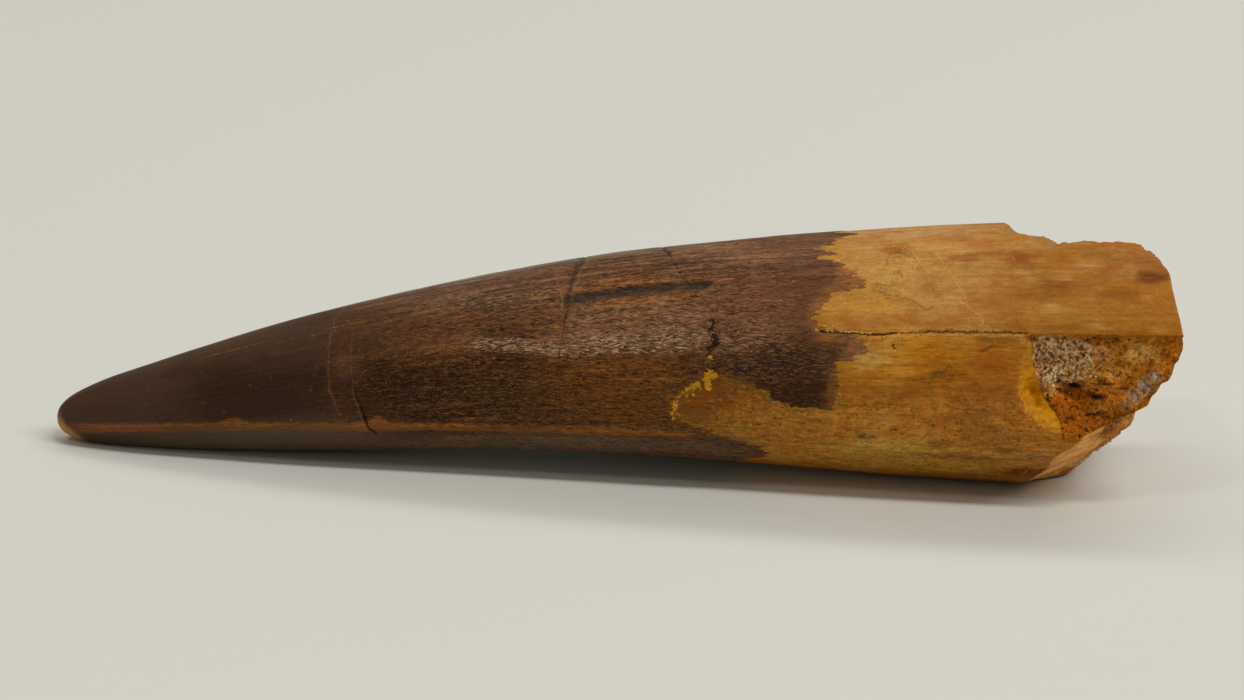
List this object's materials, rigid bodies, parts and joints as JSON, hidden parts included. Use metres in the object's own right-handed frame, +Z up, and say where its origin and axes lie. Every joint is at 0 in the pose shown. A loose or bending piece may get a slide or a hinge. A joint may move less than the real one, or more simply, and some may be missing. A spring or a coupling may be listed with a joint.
{
  "type": "spinosaurus tooth",
  "caption": "Fossil dinosaur tooth lying on its side: a long ridged crown with dark enamel, a broken ochre root and the sandstone that fills it.",
  "frame": {"origin": "middle of the tooth's base box, on the surface that it lies on", "axes": "+X from the tip to the broken root, -Y to the side with the missing flake, +Z up"},
  "size_m": [0.12, 0.0258, 0.0271],
  "materials": {
    "enamel_and_root": "worn fossil enamel, satin and dark brown, over a duller ochre root with a rough sandstone fill"
  },
  "bodies": {
    "root": {"tooth": "enamel_and_root"}
  },
  "joints": []
}
